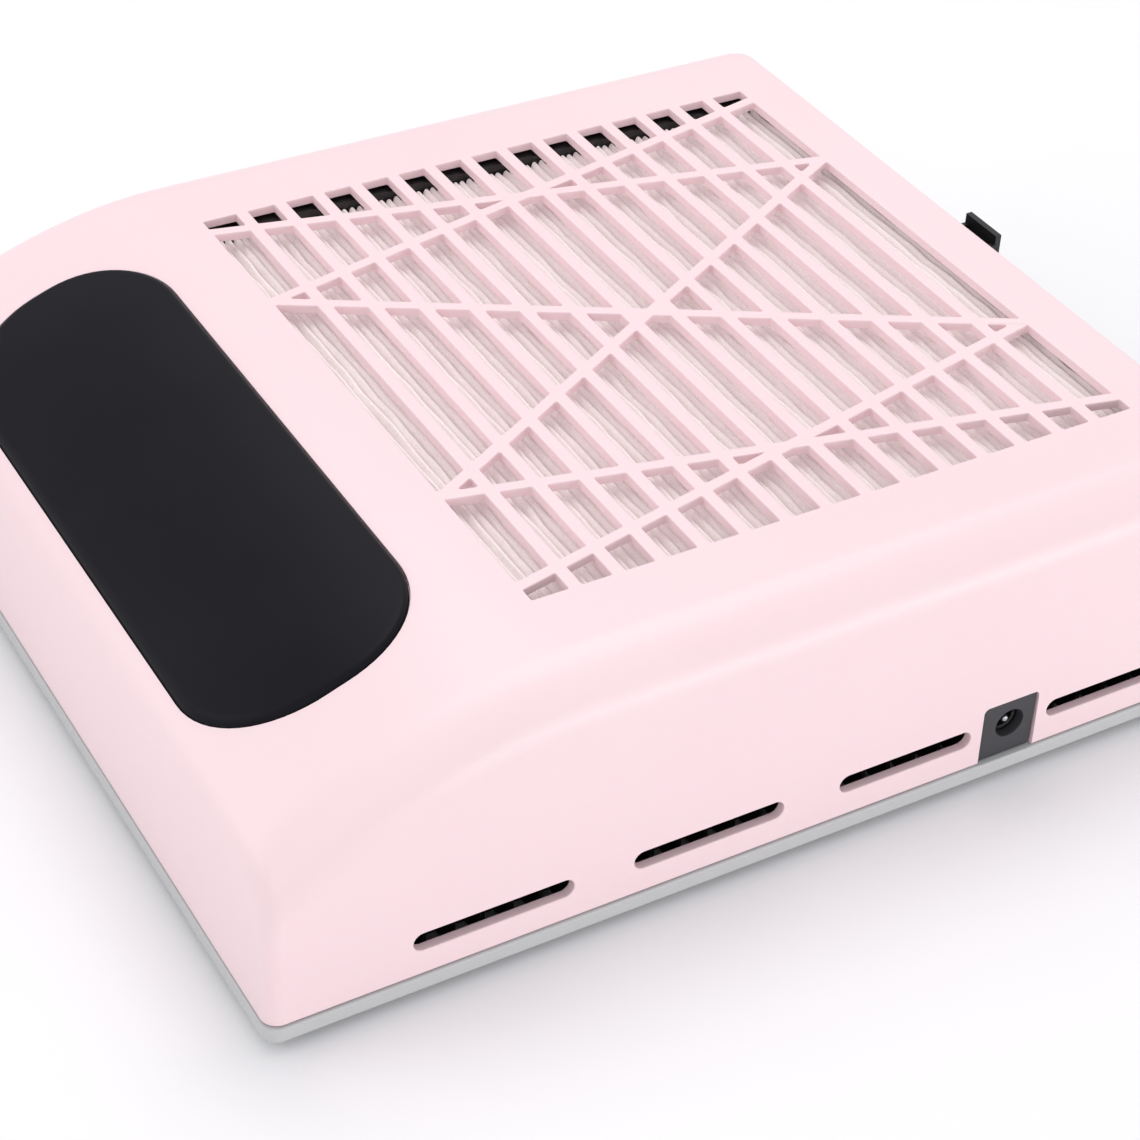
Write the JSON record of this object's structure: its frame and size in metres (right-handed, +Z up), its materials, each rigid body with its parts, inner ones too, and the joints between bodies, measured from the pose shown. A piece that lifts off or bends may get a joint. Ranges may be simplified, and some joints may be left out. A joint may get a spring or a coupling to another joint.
{
  "type": "nail dust collector",
  "caption": "Low square desktop nail dust collector with a sloping padded hand rest, a latticed suction grille over a pull-out pleated filter, a radial fan and side exhaust vents.",
  "frame": {"origin": "on the resting surface, under the middle of the whole object with its pull tab", "axes": "+Z up, -Y towards the user (hand rest side), +Y towards the filter's pull tab, +X towards the side with the power socket"},
  "size_m": [0.248, 0.273, 0.0735],
  "materials": {
    "pink_shell": "satin moulded pale pink ABS, very fine texture",
    "grey_base": "satin moulded light grey ABS",
    "rest_pad": "smooth soft black elastomer skin",
    "black_plastic": "satin moulded black plastic",
    "filter_cloth": "pleated off-white nonwoven",
    "seal_foam": "open-cell foam strip",
    "rubber": "matt moulded rubber",
    "fan_plastic": "satin off-white moulded plastic",
    "socket_plate": "satin dark grey moulded plastic",
    "steel": "plain zinc-plated and bare steel",
    "magnet": "dull bonded ferrite",
    "motor_metal": "die-cast aluminium",
    "winding": "enamelled copper wire",
    "circuit_board": "green solder resist on fibreglass board",
    "lead_jacket": "black vinyl cable jacket"
  },
  "bodies": {
    "casing": {"top_shell": "pink_shell", "base_plate": "grey_base", "hand_rest_pad": "rest_pad", "vent_guard_right_front": "black_plastic", "vent_guard_right_rear": "black_plastic", "vent_guard_left_front": "black_plastic", "vent_guard_left_rear": "black_plastic", "power_socket_body": "black_plastic", "switch_body": "black_plastic", "board_capacitor": "black_plastic", "filter_gasket": "seal_foam", "foot_1": "rubber", "foot_2": "rubber", "foot_3": "rubber", "foot_4": "rubber", "motor_isolator_1": "rubber", "motor_isolator_2": "rubber", "motor_isolator_3": "rubber", "motor_isolator_4": "rubber", "fan_deck": "fan_plastic", "motor_lead_socket": "fan_plastic", "power_socket_plate": "socket_plate", "inlet_guard": "steel", "lower_bearing": "steel", "upper_bearing": "steel", "stator_core": "steel", "power_socket_pin": "steel", "motor_screw_1": "steel", "motor_screw_2": "steel", "motor_screw_3": "steel", "motor_screw_4": "steel", "deck_screw_1": "steel", "deck_screw_2": "steel", "deck_screw_3": "steel", "deck_screw_4": "steel", "shell_screw_1": "steel", "shell_screw_2": "steel", "shell_screw_3": "steel", "shell_screw_4": "steel", "board_screw_1": "steel", "board_screw_2": "steel", "motor_mount": "motor_metal", "stator_windings": "winding", "driver_board": "circuit_board", "control_board": "circuit_board", "socket_lead": "lead_jacket", "switch_lead": "lead_jacket", "motor_lead": "lead_jacket"},
    "filter_drawer": {"filter_upper_frame": "black_plastic", "filter_lower_frame": "black_plastic", "filter_media": "filter_cloth"},
    "fan_rotor": {"impeller": "fan_plastic", "rotor_cup": "steel", "rotor_magnet": "magnet", "motor_shaft": "steel"},
    "rocker": {"switch_rocker": "black_plastic"}
  },
  "joints": [
    {"name": "filter_slide", "type": "slide", "parent": "casing", "child": "filter_drawer", "axis": [0, 1, 0], "range_m": [0, 0.19]},
    {"name": "fan_spin", "type": "hinge", "parent": "casing", "child": "fan_rotor", "pos_m": [0, 0.0296, 0.03], "axis": [0, 0, 1], "continuous": true},
    {"name": "switch_tilt", "type": "hinge", "parent": "casing", "child": "rocker", "pos_m": [-0.1206, 0.06155, 0.0167], "axis": [0, 0, 1], "range_deg": [0, 16]}
  ]
}
